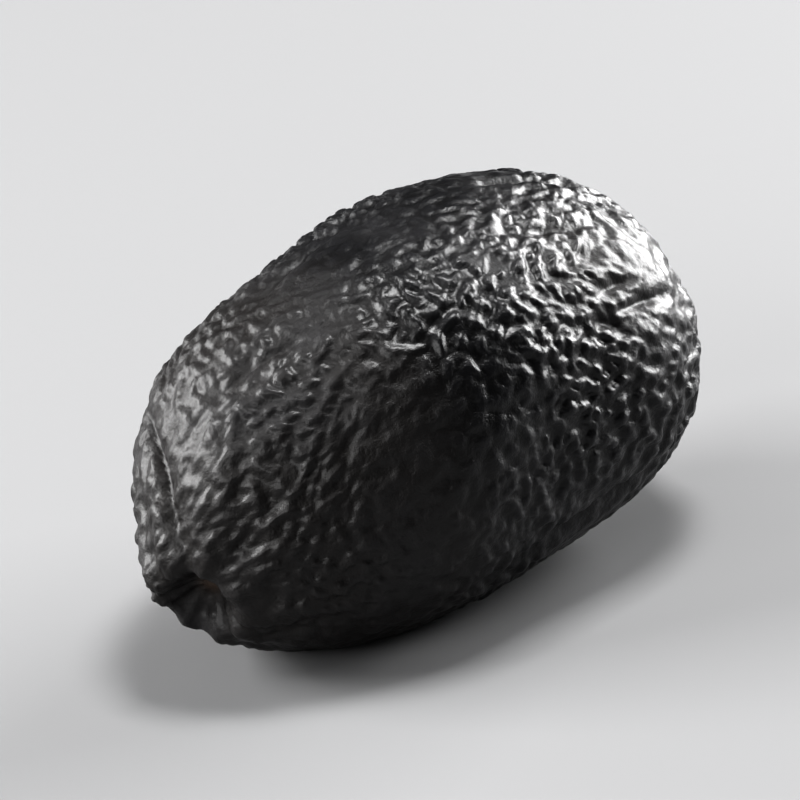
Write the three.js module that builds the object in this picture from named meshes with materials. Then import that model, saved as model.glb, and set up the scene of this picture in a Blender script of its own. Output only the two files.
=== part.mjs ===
// A whole dried black jujube, lying on its side on a level surface.
// Units are millimetres and +Z is up. The stem end, with its round hollow, points to -X and the blunt
// blossom end to +X. The origin is on the surface, under the middle of the fruit's bounding box.
//
// The fruit is one closed skin. It starts as a smooth oval body with a hollow at each end. Dents,
// creases, folds and wrinkles are then raised along the body's normals, and last the skin is pressed
// flat where the fruit rests.

import * as THREE from "three";
import { mergeVertices } from "three/addons/utils/BufferGeometryUtils.js";

// Smooth body
const LENGTH = 37.6;
const WIDTH = 23.2;
const HEIGHT = 22.6;
const FULLNESS = 2.4; // exponent of the superellipse that the body is turned from; 2 is an ellipse
const STEM_TAPER = 0.6; // share of the radius that the nose at the stem end loses
const STEM_TAPER_POWER = 5;
const EGG = 0.05; // share by which the blossom half is wider, and the stem half narrower
const STEM_HANG = 2.2; // how far the stem end hangs below the middle of the body
const BLOSSOM_HANG = 1.2;

// Stem end: a round hollow in a raised rim. The way to its middle, and its axis, are each turned from
// -X downwards and then aside towards -Y, by angles in radians.
const STEM_LOW = 0.15;
const STEM_ASIDE = 0.23;
const STEM_DROP = 0.42;
const STEM_TURN = 0.36;
const HOLLOW_RADIUS = 1.9;
const HOLLOW_DEPTH = 2;
const HOLLOW_STEEPNESS = 4; // exponent of its profile
const RIM_RADIUS = 3;
const RIM_WIDTH = 0.9;
const RIM_HEIGHT = 0.35;
const SMOOTH_RADIUS = 2.2; // of the part of the hollow that has no wrinkles

// Blossom end: a small dimple
const DIMPLE_RADIUS = 1.5;
const DIMPLE_DEPTH = 0.7;

// Folds that run out from both ends, like those of a drawn purse. They are highest at a radius, fade
// within a reach, and are set unevenly by a sway and turned into slight spirals by a swirl.
const STEM_FOLDS = { count: 9, height: 0.2, radius: 4.6, reach: 2.7, sway: 0.8, swirl: 0.25 };
const BLOSSOM_FOLDS = { count: 7, height: 0.13, radius: 4.5, reach: 2.6, sway: 0.9, swirl: -0.2 };
const END_REACH = 8; // depth under an end within which its hollow and folds fade out

// Large soft dents: the way each one faces from the middle, its width in radians and its depth
const DENTS = [
  { way: [0.2, -0.95, -0.05], width: 0.5, depth: 0.45 },
  { way: [-0.86, -0.48, 0.3], width: 0.3, depth: 0.3 },
  { way: [-0.3, 0.75, 0.55], width: 0.38, depth: 0.8 },
  { way: [0.55, 0.8, -0.2], width: 0.3, depth: 0.6 },
  { way: [0.25, 0.1, 0.96], width: 0.3, depth: 0.3 },
  { way: [-0.55, 0.5, -0.7], width: 0.35, depth: 0.5 },
];

// Creases: the place of each one's middle, as the way to it from the middle of the fruit, and the way
// it heads along the skin. Half its length, its depth, its width and its bend follow.
const CREASES = [
  { way: [-0.9, 0.15, 0.41], heading: [0.54, 0.78, 0.32], half: 5.5, depth: 0.55, width: 0.9, bend: 0.045 },
  { way: [0.71, -0.58, 0.4], heading: [0.94, 0.24, -0.23], half: 2.2, depth: 0.4, width: 0.65, bend: -0.07 },
  { way: [0.77, -0.57, 0.28], heading: [0.91, 0.3, -0.31], half: 3.2, depth: 0.5, width: 0.7, bend: -0.03 },
  { way: [0.63, -0.71, 0.33], heading: [0.77, -0.11, -0.63], half: 1.8, depth: 0.4, width: 0.65, bend: -0.06 },
  { way: [0.45, -0.75, -0.5], heading: [1, 0.3, 0.3], half: 6, depth: 0.4, width: 0.8, bend: -0.02 },
  { way: [-0.1, -0.8, -0.6], heading: [1, 0, 0.15], half: 5, depth: 0.35, width: 0.8, bend: 0.02 },
];

// More creases, drawn by rule round the top and the far side, from one turn round the fruit to another
const MORE_CREASES = 12;
const MORE_FROM = -1.7;
const MORE_TO = 2.4;
const MORE_SHAPE = { depth: 0.34, width: 0.8 };
const MORE_HALF = [3, 6.5];

// Relief of the skin: the heights and wavelengths of random waves
const SWELL_HEIGHT = 0.22;
const SWELL_WAVE = 15;
const FOLD_HEIGHT = 0.1;
const FOLD_WAVE = 7.5;
const FOLD_GROOVE = 0.6; // width of the grooves between folds, as a value of their field
const WRINKLE_HEIGHT = 0.16;
const WRINKLE_WAVE = 2.8;
const WRINKLE_BIAS = 0.3; // makes the wrinkles broad and the valleys between them narrow

// Rest
const REST_TILT = 6; // degrees that the blossom end lies higher than the stem end
const PRESS = 0.5; // depth of the flat spot above the lowest wrinkle

// Mesh: squares along the length and across, on a long box that is rounded to the body
const CELLS_LONG = 44;
const CELLS_WIDE = 26;

const SKIN = { color: 0x1a1718, roughness: 0.45, metalness: 0 };

const bell = (distance, width) => Math.exp(-((distance / width) ** 2));
const vector = (numbers) => new THREE.Vector3(...numbers);

// Repeatable draws between 0 and 1
function drawsFrom(seed) {
  let state = seed;
  return () => {
    state = (1664525 * state + 1013904223) % 4294967296;
    return state / 4294967296;
  };
}

// Flat waves that run in all directions; their sum is a smooth random field
function randomWaves(seed, count) {
  const draw = drawsFrom(seed);
  return Array.from({ length: count }, () => {
    const height = 2 * draw() - 1;
    const turn = 2 * Math.PI * draw();
    const flat = Math.sqrt(1 - height * height);
    const way = new THREE.Vector3(flat * Math.cos(turn), flat * Math.sin(turn), height);
    return { way, phase: 2 * Math.PI * draw() };
  });
}

// A number between two others, for a draw between 0 and 1
const between = (from, to, draw) => from + (to - from) * draw;

const SWELL = randomWaves(11, 24);
const FOLDS = randomWaves(23, 32);
const WRINKLES = randomWaves(37, 60);

// The field's value at a point, about 1 in size
function fieldAt(waves, point, wavelength) {
  const turns = (2 * Math.PI) / wavelength;
  const sum = waves.reduce((total, w) => total + Math.cos(turns * w.way.dot(point) + w.phase), 0);
  return sum * Math.sqrt(2 / waves.length);
}

// Broad folds with a groove wherever their field changes sign
function foldAt(point) {
  const square = fieldAt(FOLDS, point, FOLD_WAVE) ** 2;
  return square / (square + FOLD_GROOVE ** 2) - 0.5;
}

// Small rounded wrinkles that crowd the whole skin
function wrinkleAt(point) {
  return Math.tanh(fieldAt(WRINKLES, point, WRINKLE_WAVE) + WRINKLE_BIAS);
}

// The body's point in a direction from its middle
function bodyPoint(direction) {
  const along = Math.abs(direction.x) / LENGTH;
  const around = Math.hypot(direction.y / WIDTH, direction.z / HEIGHT);
  const reach = (along ** FULLNESS + around ** FULLNESS) ** (-1 / FULLNESS);
  const x = (direction.x * reach) / LENGTH;
  const taper = 1 - STEM_TAPER * Math.max(0, -x) ** STEM_TAPER_POWER;
  const girth = taper * (1 + EGG * x) * 0.5;
  const hang = (x < 0 ? STEM_HANG : BLOSSOM_HANG) * x * x;
  return new THREE.Vector3(
    (x * LENGTH) / 2,
    direction.y * reach * girth,
    direction.z * reach * girth - hang,
  );
}

// The way that is turned down from -X and then aside towards -Y
function stemWay(down, aside) {
  const flat = Math.cos(down);
  return new THREE.Vector3(-flat * Math.cos(aside), -flat * Math.sin(aside), -Math.sin(down));
}

// The two ends: the point where each one's axis leaves the body, and the way it points
const STEM = {
  point: bodyPoint(stemWay(STEM_LOW, STEM_ASIDE)),
  way: stemWay(STEM_DROP, STEM_TURN),
  folds: STEM_FOLDS,
  profile: (radius) =>
    RIM_HEIGHT * bell(radius - RIM_RADIUS, RIM_WIDTH) -
    HOLLOW_DEPTH * Math.exp(-((radius / HOLLOW_RADIUS) ** HOLLOW_STEEPNESS)),
};
const BLOSSOM = {
  point: bodyPoint(new THREE.Vector3(1, 0, 0)),
  way: new THREE.Vector3(1, 0, 0),
  folds: BLOSSOM_FOLDS,
  profile: (radius) => -DIMPLE_DEPTH * bell(radius, DIMPLE_RADIUS),
};
const endOf = (point) => (point.x < 0 ? STEM : BLOSSOM);

// How far a point lies from the axis of an end, its turn round that axis, and how near the end it is
function roundEnd(point, end) {
  const side = point.clone().sub(end.point);
  const depth = side.dot(end.way);
  side.addScaledVector(end.way, -depth);
  return { radius: side.length(), turn: Math.atan2(side.z, side.y), near: bell(depth, END_REACH) };
}

// Sinks the hollow or the dimple along the axis of its end
function sinkEnd(point) {
  const end = endOf(point);
  const { radius, near } = roundEnd(point, end);
  return point.addScaledVector(end.way, near * end.profile(radius));
}

function endFolds(point) {
  const end = endOf(point);
  const { count, height, radius: middle, reach, sway, swirl } = end.folds;
  const { radius, turn, near } = roundEnd(point, end);
  const phase = sway * Math.sin(2 * turn) + swirl * radius;
  return near * height * bell(radius - middle, reach) * Math.cos(count * turn + phase);
}

function dents(direction) {
  return DENTS.reduce((sum, dent) => {
    const angle = direction.angleTo(vector(dent.way));
    return sum - dent.depth * bell(angle, dent.width);
  }, 0);
}

// Places a crease on the body, with its own directions along it and across it
function placeCrease({ way, heading, ...shape }) {
  const outward = vector(way).normalize();
  const along = vector(heading);
  along.addScaledVector(outward, -along.dot(outward)).normalize();
  const across = new THREE.Vector3().crossVectors(outward, along);
  return { middle: bodyPoint(outward), along, across, ...shape };
}

// Lengthwise creases, by turns on the stem half and on the blossom half
function ruledCreases() {
  const draw = drawsFrom(97);
  return Array.from({ length: MORE_CREASES }, (_, i) => {
    const x = (i % 2 ? 1 : -1) * between(0.2, 0.8, draw());
    const turn = between(MORE_FROM, MORE_TO, (i + draw()) / MORE_CREASES);
    const flat = Math.sqrt(1 - x * x);
    return {
      ...MORE_SHAPE,
      way: [x, flat * Math.cos(turn), flat * Math.sin(turn)],
      heading: [1, between(-0.25, 0.25, draw()), between(-0.25, 0.25, draw())],
      half: between(...MORE_HALF, draw()),
      bend: between(-0.03, 0.03, draw()),
    };
  });
}

const PLACED_CREASES = [...CREASES, ...ruledCreases()].map(placeCrease);

// Each crease is cut only near itself, so that it doesn't show on the far side of the fruit too
function creases(point) {
  return PLACED_CREASES.reduce((sum, crease) => {
    const side = point.clone().sub(crease.middle);
    if (side.length() > 2 * crease.half) return sum;
    const along = side.dot(crease.along);
    const across = side.dot(crease.across) - crease.bend * along * along;
    return sum - crease.depth * bell(across, crease.width) * bell(along, 0.75 * crease.half);
  }, 0);
}

// 1 over the skin and 0 in the hollow at the stem end
function outOfHollow(point) {
  const { radius, near } = roundEnd(point, STEM);
  return point.x > 0 ? 1 : 1 - near * bell(radius, SMOOTH_RADIUS);
}

// Height of the skin over the smooth body
function relief(point, direction) {
  const wrinkled = FOLD_HEIGHT * foldAt(point) + WRINKLE_HEIGHT * wrinkleAt(point) + creases(point);
  return (
    SWELL_HEIGHT * fieldAt(SWELL, point, SWELL_WAVE) +
    outOfHollow(point) * wrinkled +
    endFolds(point) +
    dents(direction)
  );
}

// A long box of squares turned to directions from its middle, so spaced that the squares stay even
function evenDirections() {
  const box = new THREE.BoxGeometry(2, 2, 2, CELLS_LONG, CELLS_WIDE, CELLS_WIDE);
  box.deleteAttribute("normal");
  box.deleteAttribute("uv");
  const sphere = mergeVertices(box, 1e-5);
  const position = sphere.getAttribute("position");
  const spread = (t) => Math.tan((t * Math.PI) / 4);
  for (let i = 0; i < position.count; i++) {
    const way = new THREE.Vector3().fromBufferAttribute(position, i);
    way.set((LENGTH / WIDTH) * spread(way.x), spread(way.y), spread(way.z)).normalize();
    position.setXYZ(i, ...way);
  }
  return sphere;
}

// Each square is two triangles that share an edge; the edge is laid the way that bends less
function layDiagonals(geometry) {
  const position = geometry.getAttribute("position");
  const index = geometry.getIndex();
  const at = (i) => new THREE.Vector3().fromBufferAttribute(position, i);
  const bend = (a, b, c, d) => {
    const one = new THREE.Triangle(at(a), at(b), at(c)).getNormal(new THREE.Vector3());
    const two = new THREE.Triangle(at(a), at(c), at(d)).getNormal(new THREE.Vector3());
    return one.angleTo(two);
  };
  for (let i = 0; i < index.count; i += 6) {
    const [a, b, d, , c] = index.array.slice(i, i + 6);
    if (bend(a, b, c, d) < bend(b, c, d, a)) index.array.set([a, b, c, a, c, d], i);
  }
}

function fruitGeometry() {
  const geometry = evenDirections();
  const position = geometry.getAttribute("position");
  const directions = [];
  for (let i = 0; i < position.count; i++) {
    const direction = new THREE.Vector3().fromBufferAttribute(position, i);
    directions.push(direction);
    position.setXYZ(i, ...sinkEnd(bodyPoint(direction)));
  }
  geometry.computeVertexNormals();
  const normal = geometry.getAttribute("normal");
  directions.forEach((direction, i) => {
    const point = new THREE.Vector3().fromBufferAttribute(position, i);
    const outward = new THREE.Vector3().fromBufferAttribute(normal, i);
    point.addScaledVector(outward, relief(point, direction));
    position.setXYZ(i, ...point);
  });
  geometry.deleteAttribute("normal");
  layDiagonals(geometry);
  return geometry;
}

// Tilts the fruit as it lies, presses it flat against z = 0 and centres its box over the origin
function settle(geometry) {
  geometry.rotateY(THREE.MathUtils.degToRad(-REST_TILT));
  geometry.computeBoundingBox();
  const { min, max } = geometry.boundingBox;
  geometry.translate(-(min.x + max.x) / 2, -(min.y + max.y) / 2, -min.z - PRESS);
  const position = geometry.getAttribute("position");
  for (let i = 0; i < position.count; i++) {
    position.setZ(i, Math.max(0, position.getZ(i)));
  }
  geometry.computeVertexNormals();
  return geometry;
}

const fruit = new THREE.Mesh(settle(fruitGeometry()), new THREE.MeshStandardMaterial(SKIN));
fruit.name = "dried_fruit";

const jujube = new THREE.Group();
jujube.add(fruit);

export default jujube;
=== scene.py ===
"""A whole dried black jujube on a pale floor.

The fruit is one fine mesh that stands for the CAD solid. It is made by the same formulas, in
millimetres, with the wrinkles of the skin at their real spacing and with narrow cores in the creases,
and is then laid in the solid's box in metres. Its stem end points to -X and its blossom end to +X.
"""

import math

import bpy
import numpy as np
from mathutils import Matrix, Vector


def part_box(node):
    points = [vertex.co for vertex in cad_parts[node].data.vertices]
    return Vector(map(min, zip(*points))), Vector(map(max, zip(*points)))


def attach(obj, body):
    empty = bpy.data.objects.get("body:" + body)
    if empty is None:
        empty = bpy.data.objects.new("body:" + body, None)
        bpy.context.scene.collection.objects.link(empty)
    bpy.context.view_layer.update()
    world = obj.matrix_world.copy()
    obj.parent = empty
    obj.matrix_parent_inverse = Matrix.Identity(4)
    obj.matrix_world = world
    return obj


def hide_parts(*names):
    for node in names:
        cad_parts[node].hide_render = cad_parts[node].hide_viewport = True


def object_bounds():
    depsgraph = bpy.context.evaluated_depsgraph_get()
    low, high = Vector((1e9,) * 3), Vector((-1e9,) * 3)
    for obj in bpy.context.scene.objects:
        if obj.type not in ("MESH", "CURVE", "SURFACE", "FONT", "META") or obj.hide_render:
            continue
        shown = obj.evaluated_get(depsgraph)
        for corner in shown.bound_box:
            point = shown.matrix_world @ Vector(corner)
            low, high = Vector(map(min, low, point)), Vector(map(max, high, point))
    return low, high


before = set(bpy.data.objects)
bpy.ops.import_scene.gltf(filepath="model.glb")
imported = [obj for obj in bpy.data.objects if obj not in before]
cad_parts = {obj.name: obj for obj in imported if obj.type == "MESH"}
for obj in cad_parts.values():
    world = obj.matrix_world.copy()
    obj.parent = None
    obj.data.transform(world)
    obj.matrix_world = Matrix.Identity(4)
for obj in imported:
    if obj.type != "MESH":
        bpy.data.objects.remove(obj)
cad_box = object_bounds()

NODE = "dried_fruit"

# Smooth body
LENGTH = 37.6
WIDTH = 23.2
HEIGHT = 22.6
FULLNESS = 2.4  # exponent of the superellipse that the body is turned from
STEM_TAPER = 0.6  # share of the radius that the nose at the stem end loses
STEM_TAPER_POWER = 5
EGG = 0.05  # share by which the blossom half is wider, and the stem half narrower
STEM_HANG = 2.2  # how far the stem end hangs below the middle of the body
BLOSSOM_HANG = 1.2

# Stem end: a round hollow in a raised rim. The way to its middle, and its axis, are each turned from
# -X downwards and then aside towards -Y, by angles in radians.
STEM_LOW = 0.15
STEM_ASIDE = 0.23
STEM_DROP = 0.42
STEM_TURN = 0.36
HOLLOW_RADIUS = 1.9
HOLLOW_DEPTH = 2
HOLLOW_STEEPNESS = 4  # exponent of its profile
RIM_RADIUS = 3
RIM_WIDTH = 0.9
RIM_HEIGHT = 0.35
SMOOTH_RADIUS = 2.2  # of the part of the hollow that has no wrinkles
SCAR_RADIUS = 0.8

# Blossom end: a small dimple with a tip in its middle
DIMPLE_RADIUS = 1.5
DIMPLE_DEPTH = 0.7
TIP_RADIUS = 0.45
TIP_SHARE = 0.6  # height of the tip, as a share of the dimple's depth

# Folds that run out from both ends, like those of a drawn purse. They are highest at a middle radius,
# fade within a reach, and are set unevenly by a sway and turned into slight spirals by a swirl.
STEM_FOLDS = dict(count=9, height=0.2, middle=4.6, reach=2.7, sway=0.8, swirl=0.25)
BLOSSOM_FOLDS = dict(count=7, height=0.13, middle=4.5, reach=2.6, sway=0.9, swirl=-0.2)
END_REACH = 8  # depth under an end within which its hollow and folds fade out

# Large soft dents: the way each one faces, its width in radians and its depth
DENTS = [
    ((0.2, -0.95, -0.05), 0.5, 0.45),
    ((-0.86, -0.48, 0.3), 0.3, 0.3),
    ((-0.3, 0.75, 0.55), 0.38, 0.8),
    ((0.55, 0.8, -0.2), 0.3, 0.6),
    ((0.25, 0.1, 0.96), 0.3, 0.3),
    ((-0.55, 0.5, -0.7), 0.35, 0.5),
]

# Creases: the way to each one's middle, its heading, half its length, its depth, width and bend
CREASES = [
    ((-0.9, 0.15, 0.41), (0.54, 0.78, 0.32), 5.5, 0.75, 0.8, 0.045),
    ((0.71, -0.58, 0.4), (0.94, 0.24, -0.23), 2.2, 0.4, 0.65, -0.07),
    ((0.77, -0.57, 0.28), (0.91, 0.3, -0.31), 3.2, 0.5, 0.7, -0.03),
    ((0.63, -0.71, 0.33), (0.77, -0.11, -0.63), 1.8, 0.4, 0.65, -0.06),
    ((0.45, -0.75, -0.5), (1, 0.3, 0.3), 6, 0.4, 0.8, -0.02),
    ((-0.1, -0.8, -0.6), (1, 0, 0.15), 5, 0.35, 0.8, 0.02),
]
CREASE_FADE = 0.75  # how fast a crease fades along itself, as a share of half its length
CREASE_REACH = 2  # how far from its middle it is cut at all, in halves of its length
CORE_SHARE = 0.6  # depth of the narrow core in a crease, as a share of the crease's depth
CORE_WIDTH = 0.3
CORE_GAIN = 2.5  # creases deeper than 1 over this, in millimetres, have a whole core
CORE_FADE = 0.8  # share of the fine wrinkles that a core wipes out

# More creases, drawn by rule round the top and the far side, from one turn round the fruit to another
MORE_CREASES = 12
MORE_FROM = -1.7
MORE_TO = 2.4
MORE_DEPTH = 0.34
MORE_WIDTH = 0.8
MORE_HALF = (3, 6.5)
MORE_LEAN = 0.25  # how far each one's heading leans off the length of the fruit, at most
MORE_BEND = 0.03

# Relief of the skin: the heights and wavelengths of random waves
SWELL_HEIGHT = 0.22
SWELL_WAVE = 15
FOLD_HEIGHT = 0.1
FOLD_WAVE = 7.5
FOLD_GROOVE = 0.6  # width of the grooves between folds, as a value of their field
COARSE_HEIGHT = 0.07
COARSE_WAVE = 2.8
COARSE_BIAS = 0.3  # makes the wrinkles broad and the valleys between them narrow
COARSE_SEED = 9
FINE_HEIGHT = 0.2
FINE_WAVE = 1.45
FINE_STRETCH = (0.9, 1, 1)
FINE_SEEDS = (5, 6)
DOME_LEVEL = 0.75  # value of their field above which domes rise from the ground
DOME_SHARPNESS = 2.5
DOME_RISE = 0.8
STRENGTH_WAVE = 11
STRENGTH_SWING = 0.3  # share by which the fine wrinkles are stronger here and weaker there
STRENGTH_RANGE = (0.4, 1.6)

# Tight skin, with lower fine wrinkles and a duller shine. It lies towards the stem, from one part of
# the way there to another, and in patches: the way each one faces and its width in radians.
TIGHT_FROM = 0.1
TIGHT_TO = 0.6
TIGHT_PATCHES = [((0.72, -0.52, 0.46), 0.26), ((0.4, 0.85, 0.3), 0.35), ((0.1, 0.2, -0.95), 0.4)]
TIGHT_LOSS = 0.3  # share of their height that the fine wrinkles lose

# Rest
REST_TILT = 6  # degrees that the blossom end lies higher than the stem end
PRESS = 0.5  # depth of the flat spot above the lowest wrinkle

# Mesh: squares along the length and across, on a long box that is rounded to the body
CELLS_LONG = 180
CELLS_WIDE = 106


def bell(distance, width):
    """1 at no distance, and fading to 0 over a width."""
    return np.exp(-((distance / width) ** 2))


def unit(numbers):
    return np.array(numbers, dtype=float) / np.linalg.norm(numbers)


def between(low, high, draw):
    return low + (high - low) * draw


def draws_from(seed):
    """Repeatable draws between 0 and 1."""
    state = seed
    while True:
        state = (1664525 * state + 1013904223) % 4294967296
        yield state / 4294967296


def random_field(seed, count, wavelength):
    """A smooth random field, about 1 in size: a sum of flat waves that run in all directions."""
    draw = draws_from(seed)
    waves = []
    for _ in range(count):
        height = 2 * next(draw) - 1
        turn = 2 * math.pi * next(draw)
        flat = math.sqrt(1 - height * height)
        phase = 2 * math.pi * next(draw)
        waves.append((flat * math.cos(turn), flat * math.sin(turn), height, phase))
    turns = 2 * math.pi / wavelength

    def field(points):
        total = sum(np.cos(turns * (points @ np.array(wave[:3])) + wave[3]) for wave in waves)
        return total * math.sqrt(2 / count)

    return field


swell_field = random_field(11, 24, SWELL_WAVE)
fold_field = random_field(23, 32, FOLD_WAVE)
strength_field = random_field(53, 24, STRENGTH_WAVE)


def body_points(ways):
    """The smooth body's points in directions from its middle."""
    along = np.abs(ways[:, 0]) / LENGTH
    around = np.hypot(ways[:, 1] / WIDTH, ways[:, 2] / HEIGHT)
    reach = (along**FULLNESS + around**FULLNESS) ** (-1 / FULLNESS)
    x = ways[:, 0] * reach / LENGTH
    taper = 1 - STEM_TAPER * np.maximum(0, -x) ** STEM_TAPER_POWER
    girth = taper * (1 + EGG * x) * 0.5
    hang = np.where(x < 0, STEM_HANG, BLOSSOM_HANG) * x * x
    y = ways[:, 1] * reach * girth
    z = ways[:, 2] * reach * girth - hang
    return np.column_stack([x * LENGTH / 2, y, z])


def body_point(way):
    return body_points(np.array([way], dtype=float))[0]


def stem_profile(radius):
    rim = RIM_HEIGHT * bell(radius - RIM_RADIUS, RIM_WIDTH)
    return rim - HOLLOW_DEPTH * np.exp(-((radius / HOLLOW_RADIUS) ** HOLLOW_STEEPNESS))


def blossom_profile(radius):
    tip = TIP_SHARE * bell(radius, TIP_RADIUS)
    return DIMPLE_DEPTH * (tip - bell(radius, DIMPLE_RADIUS))


def stem_way(down, aside):
    """The way that is turned down from -X and then aside towards -Y."""
    flat = math.cos(down)
    return np.array((-flat * math.cos(aside), -flat * math.sin(aside), -math.sin(down)))


STEM = dict(
    point=body_point(stem_way(STEM_LOW, STEM_ASIDE)),
    way=stem_way(STEM_DROP, STEM_TURN),
    profile=stem_profile,
    folds=STEM_FOLDS,
)
BLOSSOM = dict(
    point=body_point((1, 0, 0)),
    way=np.array((1.0, 0, 0)),
    profile=blossom_profile,
    folds=BLOSSOM_FOLDS,
)


def round_end(points, end):
    """How far points lie from the axis of an end, their turn round it and how near the end they are."""
    side = points - end["point"]
    depth = side @ end["way"]
    side = side - np.outer(depth, end["way"])
    return np.linalg.norm(side, axis=1), np.arctan2(side[:, 2], side[:, 1]), bell(depth, END_REACH)


def sink_end(points, end):
    """Sinks the hollow or the dimple along the axis of its end."""
    radius, _, near = round_end(points, end)
    return points + np.outer(near * end["profile"](radius), end["way"])


def end_spot(points, end, width):
    """1 in the middle of an end, and 0 away from it."""
    radius, _, near = round_end(points, end)
    return near * bell(radius, width)


def end_spots(points, stem_width, blossom_width):
    """1 in the middle of each end, and 0 away from both."""
    at_stem = points[:, 0] < 0
    return np.where(at_stem, end_spot(points, STEM, stem_width), end_spot(points, BLOSSOM, blossom_width))


def end_folds(points, end):
    """The height of the folds that run out from an end."""
    radius, turn, near = round_end(points, end)
    folds = end["folds"]
    phase = folds["sway"] * np.sin(2 * turn) + folds["swirl"] * radius
    fade = near * bell(radius - folds["middle"], folds["reach"])
    return folds["height"] * fade * np.cos(folds["count"] * turn + phase)


def angles_from(ways, way):
    """The angles in radians between directions and one other."""
    return np.arccos(np.clip(ways @ unit(way), -1, 1))


def dents(ways):
    """The large soft dents, as heights below the body."""
    total = np.zeros(len(ways))
    for way, width, depth in DENTS:
        total -= depth * bell(angles_from(ways, way), width)
    return total


def ruled_creases():
    """Lengthwise creases, by turns on the stem half and on the blossom half."""
    draw = draws_from(97)
    for i in range(MORE_CREASES):
        x = (1 if i % 2 else -1) * between(0.2, 0.8, next(draw))
        turn = between(MORE_FROM, MORE_TO, (i + next(draw)) / MORE_CREASES)
        flat = math.sqrt(1 - x * x)
        way = (x, flat * math.cos(turn), flat * math.sin(turn))
        lean = [between(-MORE_LEAN, MORE_LEAN, next(draw)) for _ in range(2)]
        heading = (1, *lean)
        half = between(*MORE_HALF, next(draw))
        bend = between(-MORE_BEND, MORE_BEND, next(draw))
        yield way, heading, half, MORE_DEPTH, MORE_WIDTH, bend


def creases(points):
    """How deep the creases lie, and how near each point is to the core of one, from 0 to 1."""
    depths = np.zeros(len(points))
    cores = np.zeros(len(points))
    for way, heading, half, depth, width, bend in [*CREASES, *ruled_creases()]:
        outward = unit(way)
        forward = np.array(heading, dtype=float)
        forward = unit(forward - (forward @ outward) * outward)
        sideways = np.cross(outward, forward)
        side = points - body_point(outward)
        along = side @ forward
        across = side @ sideways - bend * along * along
        near = np.linalg.norm(side, axis=1) < CREASE_REACH * half
        reach = np.where(near, bell(along, CREASE_FADE * half), 0)
        core = reach * bell(across, CORE_WIDTH)
        valley = (1 - CORE_SHARE / 2) * reach * bell(across, width)
        depths += depth * (valley + CORE_SHARE * core)
        cores = np.maximum(cores, core * min(1, CORE_GAIN * depth))
    return depths, cores


def box_grid(cells):
    """The whole-number corners of the squares on a box's six sides, and each square's four."""
    squares = []
    for axis in range(3):
        u, v = (axis + 1) % 3, (axis + 2) % 3
        i, j = (a.ravel() for a in np.indices((cells[u], cells[v])))
        for end in (0, cells[axis]):
            steps = [(0, 0), (1, 0), (1, 1), (0, 1)]
            corners = np.zeros((len(i), 4, 3), dtype=int)
            corners[:, :, axis] = end
            for corner, (di, dj) in enumerate(steps if end else steps[::-1]):
                corners[:, corner, u] = i + di
                corners[:, corner, v] = j + dj
            squares.append(corners)
    corners = np.concatenate(squares).reshape(-1, 3)
    points, index = np.unique(corners, axis=0, return_inverse=True)
    return points, index.reshape(-1, 4)


def even_ways(corners, cells):
    """Turns a box's corners to directions from its middle, so spaced that the squares stay even."""
    spread = np.tan((2 * corners / cells - 1) * math.pi / 4)
    ways = spread * (LENGTH / WIDTH, 1, 1)
    return ways / np.linalg.norm(ways, axis=1)[:, None]


def vertex_normals(points, squares):
    """The way that the surface faces at each point."""
    a, b, c, d = (points[squares[:, k]] for k in range(4))
    faces = np.cross(c - a, d - b)
    normals = np.zeros_like(points)
    for k in range(4):
        for axis in range(3):
            normals[:, axis] += np.bincount(squares[:, k], faces[:, axis], len(points))
    return normals / np.linalg.norm(normals, axis=1)[:, None]


class Skin:
    """Spreads values that lie on a mesh's points over the mesh, by distances in millimetres."""

    STEADY = 0.9  # share of the longest step that keeps the spreading steady
    SHORT_BLUR = 0.18  # blur that takes out shorter waves, as a share of the wave that is kept
    LONG_BLUR = 0.14  # further blur that leaves only longer waves, which are then taken out

    def __init__(self, points, squares):
        edges = np.concatenate([squares[:, [k, (k + 1) % 4]] for k in range(4)])
        self.start, self.end = np.unique(np.sort(edges, axis=1), axis=0).T
        length = np.linalg.norm(points[self.start] - points[self.end], axis=1)
        self.weight = 1 / np.maximum(length, np.percentile(length, 5)) ** 2
        self.count = len(points)
        total = np.bincount(self.start, self.weight, self.count)
        total += np.bincount(self.end, self.weight, self.count)
        self.time = self.STEADY / total.max()

    def blur(self, values, radius):
        """Spreads the values over a radius, as heat spreads."""
        for _ in range(max(1, round(radius**2 / (2 * self.time)))):
            flow = self.weight * (values[self.end] - values[self.start])
            gain = np.bincount(self.start, flow, self.count) - np.bincount(self.end, flow, self.count)
            values = values + self.time * gain
        return values

    def band(self, values, wave, rounds=2):
        """Keeps the waves of about one length, and makes them about 1 in size."""
        for _ in range(rounds):
            values = self.blur(values, self.SHORT_BLUR * wave)
            values = values - self.blur(values, self.LONG_BLUR * wave)
        return values / values.std()

    def noise(self, seed, wave):
        """Random values whose waves are all of about one length."""
        return self.band(np.random.default_rng(seed).normal(size=self.count), wave)


def broad_folds(points):
    """Broad folds with a groove wherever their field changes sign."""
    square = fold_field(points) ** 2
    return square / (square + FOLD_GROOVE**2) - 0.5


def domes(values):
    """Separate rounded domes on a flat ground, from 0 to about 1."""
    rise = np.log(1 + np.exp(DOME_SHARPNESS * (values - DOME_LEVEL)))
    return np.tanh(DOME_RISE * rise)


def fine_wrinkles(skin):
    """Short wrinkles and domes that crowd the skin, from 0 in the valleys to 1 on their backs."""
    first, second = (domes(skin.noise(seed, FINE_WAVE)) for seed in FINE_SEEDS)
    return np.maximum(first, second)


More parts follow.
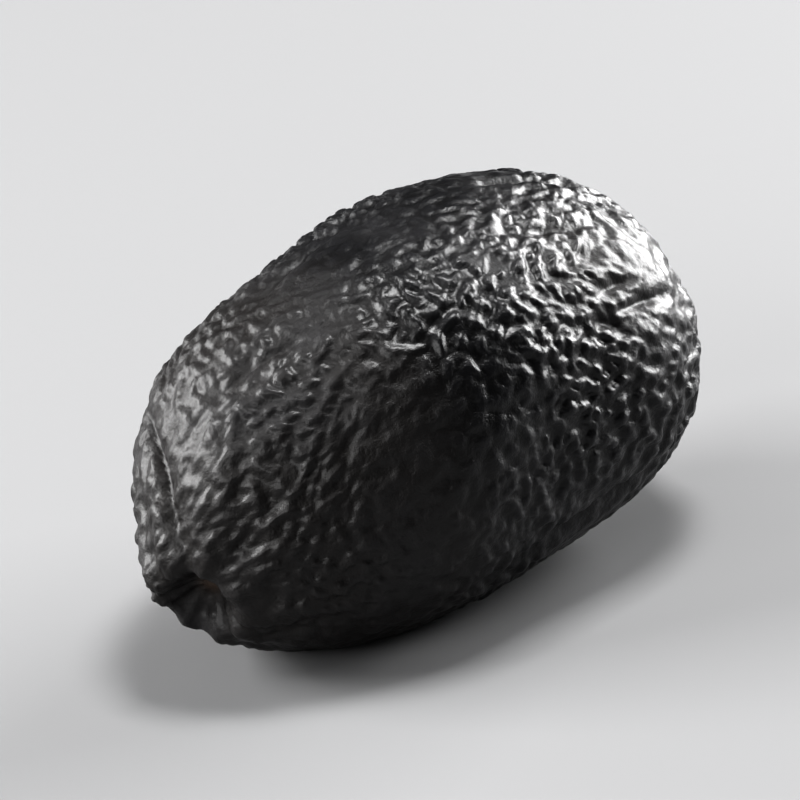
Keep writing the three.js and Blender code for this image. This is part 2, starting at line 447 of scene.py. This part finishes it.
def tightness(ways):
    """How tight the skin is drawn in directions from the middle, from 0 to 1."""
    towards_stem = np.clip((-ways[:, 0] - TIGHT_FROM) / (TIGHT_TO - TIGHT_FROM), 0, 1)
    tight = towards_stem**2 * (3 - 2 * towards_stem)  # eased at both limits
    for way, width in TIGHT_PATCHES:
        tight = np.maximum(tight, bell(angles_from(ways, way), width))
    return tight


def fine_strength(points, tight):
    """How strong the fine wrinkles are: uneven over the skin, and weaker where it is tight."""
    strength = np.clip(1 + STRENGTH_SWING * strength_field(points), *STRENGTH_RANGE)
    return strength * (1 - TIGHT_LOSS * tight)


def fruit_shape():
    """The fruit's points, its squares, and values that its skin has at each point."""
    cells = np.array((CELLS_LONG, CELLS_WIDE, CELLS_WIDE))
    corners, squares = box_grid(cells)
    ways = even_ways(corners, cells)
    points = body_points(ways)
    at_stem = points[:, :1] < 0
    points = np.where(at_stem, sink_end(points, STEM), sink_end(points, BLOSSOM))
    normals = vertex_normals(points, squares)

    at_stem = points[:, 0] < 0
    smooth = end_spots(points, SMOOTH_RADIUS, DIMPLE_RADIUS)
    skin = Skin(points * FINE_STRETCH, squares)
    coarse = np.tanh(skin.noise(COARSE_SEED, COARSE_WAVE) + COARSE_BIAS)
    fine = fine_wrinkles(skin)
    tight = tightness(ways)
    crease_depth, crease_core = creases(points)
    fine_height = FINE_HEIGHT * fine_strength(points, tight) * (1 - CORE_FADE * crease_core)
    wrinkled = FOLD_HEIGHT * broad_folds(points) + COARSE_HEIGHT * coarse - crease_depth
    wrinkled = wrinkled + fine_height * (fine - 0.5)
    relief = SWELL_HEIGHT * swell_field(points) + (1 - smooth) * wrinkled + dents(ways)
    relief = relief + np.where(at_stem, end_folds(points, STEM), end_folds(points, BLOSSOM))
    scar = end_spots(points, SCAR_RADIUS, TIP_RADIUS)
    # The ridge value is 0 in the fine wrinkles' valleys and in the creases' cores, and 1 on the wrinkles'
    # backs. The skin's colour uses it to paint shade into those valleys and cores.
    values = {"ridge_shade_mask": fine * (1 - crease_core), "scar": scar, "tight": tight}
    return points + normals * relief[:, None], squares, values


def settle(points):
    """Tilts the fruit as it lies, presses it flat on z = 0 and fits it to the solid's box."""
    tilt = Matrix.Rotation(math.radians(-REST_TILT), 3, "Y")
    points = points @ np.array(tilt).T
    points[:, 2] = np.maximum(points[:, 2] - points[:, 2].min() - PRESS, 0)
    low, high = points.min(axis=0), points.max(axis=0)
    cad_low, cad_high = (np.array(corner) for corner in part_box(NODE))
    return cad_low + (points - low) * (cad_high - cad_low) / (high - low)


def add_attribute(mesh, name, values):
    attribute = mesh.attributes.new(name, "FLOAT", "POINT")
    attribute.data.foreach_set("value", values.astype(np.float32))


def make_fruit():
    points, squares, values = fruit_shape()
    mesh = bpy.data.meshes.new("jujube_skin")
    mesh.from_pydata(settle(points).tolist(), [], squares.tolist())
    for name, numbers in values.items():
        add_attribute(mesh, name, numbers)
    mesh.polygons.foreach_set("use_smooth", [True] * len(mesh.polygons))
    fruit = bpy.data.objects.new("jujube_skin", mesh)
    bpy.context.scene.collection.objects.link(fruit)
    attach(fruit, "root")
    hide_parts(NODE)
    return fruit


# Colours, as red, green and blue in linear light
# VALLEY_PAINTED_SHADE is painted shade: a darker copy of RIDGE, laid in the valleys between the fine
# wrinkles and in the cores of the creases.
VALLEY_PAINTED_SHADE = (0.0028, 0.0027, 0.003, 1)
RIDGE = (0.007, 0.007, 0.008, 1)
BROWN = (0.011, 0.0085, 0.007, 1)
BLOOM = (0.017, 0.0165, 0.0175, 1)
SCAR = (0.06, 0.04, 0.028, 1)
FLOOR = (0.2, 0.2, 0.202, 1)
BROWN_SHARE = 0.5  # of the colour where the skin is tight
BLOOM_SHARE = 0.6  # of the colour in the palest patches
BLOOM_LIMITS = (0.5, 0.75)  # of the patches' noise, from no bloom to all of it
DULL_LIMITS = (0.35, 0.7)  # of the same noise, from glossy to dull

# Patches, grain and gloss of the skin, with sizes in metres
METRE_PER_PATCH = 0.00625
METRE_PER_GRAIN = 0.0009
GRAIN_DEPTH = 0.00016
ROUGHNESS = (0.36, 0.48)  # from glossy patches to dull ones
TIGHT_ROUGHNESS = 0.13  # that tight skin is rougher by
SPECULAR = 0.4
COAT = 0.15
COAT_ROUGHNESS = 0.2

# Floor, in metres
FLOOR_SIZE = 4
FLOOR_ROUGHNESS = 0.7


class Nodes:
    """Short calls for a material's node tree."""

    def __init__(self, material):
        material.use_nodes = True
        self.tree = material.node_tree
        self.shader = self.tree.nodes["Principled BSDF"]

    def add(self, kind, inputs=(), **settings):
        node = self.tree.nodes.new("ShaderNode" + kind)
        for name, value in settings.items():
            setattr(node, name, value)
        for name, value in dict(inputs).items():
            self.put(node.inputs[name], value)
        return node

    def put(self, socket, value):
        """Links another node's output to an input, or sets the input's own value."""
        if isinstance(value, bpy.types.NodeSocket):
            self.tree.links.new(value, socket)
        else:
            socket.default_value = value

    def attribute(self, name):
        return self.add("Attribute", attribute_name=name).outputs["Fac"]

    def noise(self, scale, detail, roughness=0.5):
        where = self.add("TexCoord").outputs["Object"]
        inputs = {"Vector": where, "Scale": scale, "Detail": detail, "Roughness": roughness}
        return self.add("TexNoise", inputs).outputs["Fac"]

    def ramp(self, value, low, high, to_low, to_high):
        """A value brought from one range into another."""
        inputs = {"Value": value, "From Min": low, "From Max": high, "To Min": to_low, "To Max": to_high}
        return self.add("MapRange", inputs).outputs["Result"]

    def total(self, first, second):
        return self.add("Math", {0: first, 1: second}).outputs[0]

    def mix(self, share, first, second):
        node = self.add("MixRGB", {"Fac": share, "Color1": first, "Color2": second})
        return node.outputs["Color"]


def skin_material():
    material = bpy.data.materials.new("dried_skin")
    nodes = Nodes(material)
    ridge_shade_mask = nodes.attribute("ridge_shade_mask")
    scar = nodes.attribute("scar")
    tight = nodes.attribute("tight")
    patches = nodes.noise(1 / METRE_PER_PATCH, 2.0)
    grain = nodes.noise(1 / METRE_PER_GRAIN, 4.0, 0.6)

    # Painted shade: the colour goes darker in the valleys of the fine wrinkles and in the cores of the
    # creases.
    colour = nodes.mix(ridge_shade_mask, VALLEY_PAINTED_SHADE, RIDGE)
    colour = nodes.mix(nodes.ramp(tight, 0, 1, 0, BROWN_SHARE), colour, BROWN)
    colour = nodes.mix(nodes.ramp(patches, *BLOOM_LIMITS, 0, BLOOM_SHARE), colour, BLOOM)
    colour = nodes.mix(scar, colour, SCAR)
    nodes.put(nodes.shader.inputs["Base Color"], colour)

    roughness = nodes.ramp(patches, *DULL_LIMITS, *ROUGHNESS)
    roughness = nodes.total(roughness, nodes.ramp(tight, 0, 1, 0, TIGHT_ROUGHNESS))
    nodes.put(nodes.shader.inputs["Roughness"], roughness)
    nodes.put(nodes.shader.inputs["Specular IOR Level"], SPECULAR)
    nodes.put(nodes.shader.inputs["Coat Weight"], COAT)
    nodes.put(nodes.shader.inputs["Coat Roughness"], COAT_ROUGHNESS)

    bump = nodes.add("Bump", {"Height": grain, "Distance": GRAIN_DEPTH})
    nodes.put(nodes.shader.inputs["Normal"], bump.outputs["Normal"])
    return material


def floor_material():
    material = bpy.data.materials.new("pale_floor")
    nodes = Nodes(material)
    nodes.put(nodes.shader.inputs["Base Color"], FLOOR)
    nodes.put(nodes.shader.inputs["Roughness"], FLOOR_ROUGHNESS)
    return material


def make_floor():
    bpy.ops.mesh.primitive_plane_add(size=FLOOR_SIZE, location=(0, 0, 0))
    floor = bpy.context.object
    floor.name = "floor"
    floor.data.materials.append(floor_material())


# Camera, aimed at the middle of the fruit: angles in degrees, distance in metres
CAMERA_AZIMUTH = -37
CAMERA_ELEVATION = 24
CAMERA_ROLL = 6.5
CAMERA_LENS = 300
CAMERA_DISTANCE = 0.38

# Lights round the fruit: azimuth and elevation in degrees, size in metres and power in watts
LIGHT_DISTANCE = 0.4
LIGHTS = {
    "key": (88, 17, (0.36, 0.16), 3.2),
    "top": (90, 75, (0.12, 0.12), 1.5),
    "left": (-134, 33, (0.25, 0.12), 2),
    "side": (-75, 28, (0.32, 0.16), 0.8),
    "rim": (-155, 15, (0.3, 0.1), 0.75),
}
SKY = (0.8, 0.82, 0.85, 1)
SKY_STRENGTH = 0.05


def seen_from(azimuth, elevation):
    """The way from the fruit to a place at an azimuth and elevation in degrees."""
    a, e = math.radians(azimuth), math.radians(elevation)
    return Vector((math.sin(a) * math.cos(e), -math.cos(a) * math.cos(e), math.sin(e)))


def look_at_middle(obj, way, distance, roll=0.0):
    low, high = cad_box
    middle = (Vector(low) + Vector(high)) / 2
    obj.location = middle + way * distance
    turn = (-way).to_track_quat("-Z", "Y").to_matrix()
    obj.rotation_euler = (turn @ Matrix.Rotation(math.radians(roll), 3, "Z")).to_euler()


def make_camera():
    camera = bpy.data.objects.new("camera", bpy.data.cameras.new("camera"))
    camera.data.lens = CAMERA_LENS
    bpy.context.scene.collection.objects.link(camera)
    way = seen_from(CAMERA_AZIMUTH, CAMERA_ELEVATION)
    look_at_middle(camera, way, CAMERA_DISTANCE, -CAMERA_ROLL)
    bpy.context.scene.camera = camera


def make_light(name, azimuth, elevation, size, power):
    light = bpy.data.lights.new(name, "AREA")
    light.shape = "RECTANGLE"
    light.size, light.size_y = size
    light.energy = power
    lamp = bpy.data.objects.new(name, light)
    bpy.context.scene.collection.objects.link(lamp)
    look_at_middle(lamp, seen_from(azimuth, elevation), LIGHT_DISTANCE)


def make_world():
    world = bpy.data.worlds.new("studio")
    world.use_nodes = True
    background = world.node_tree.nodes["Background"]
    background.inputs["Color"].default_value = SKY
    background.inputs["Strength"].default_value = SKY_STRENGTH
    bpy.context.scene.world = world


fruit = make_fruit()
fruit.data.materials.append(skin_material())
make_floor()
make_camera()
for name, settings in LIGHTS.items():
    make_light(name, *settings)
make_world()
bpy.context.scene.view_settings.view_transform = "Standard"
bpy.context.scene.view_settings.look = "High Contrast"
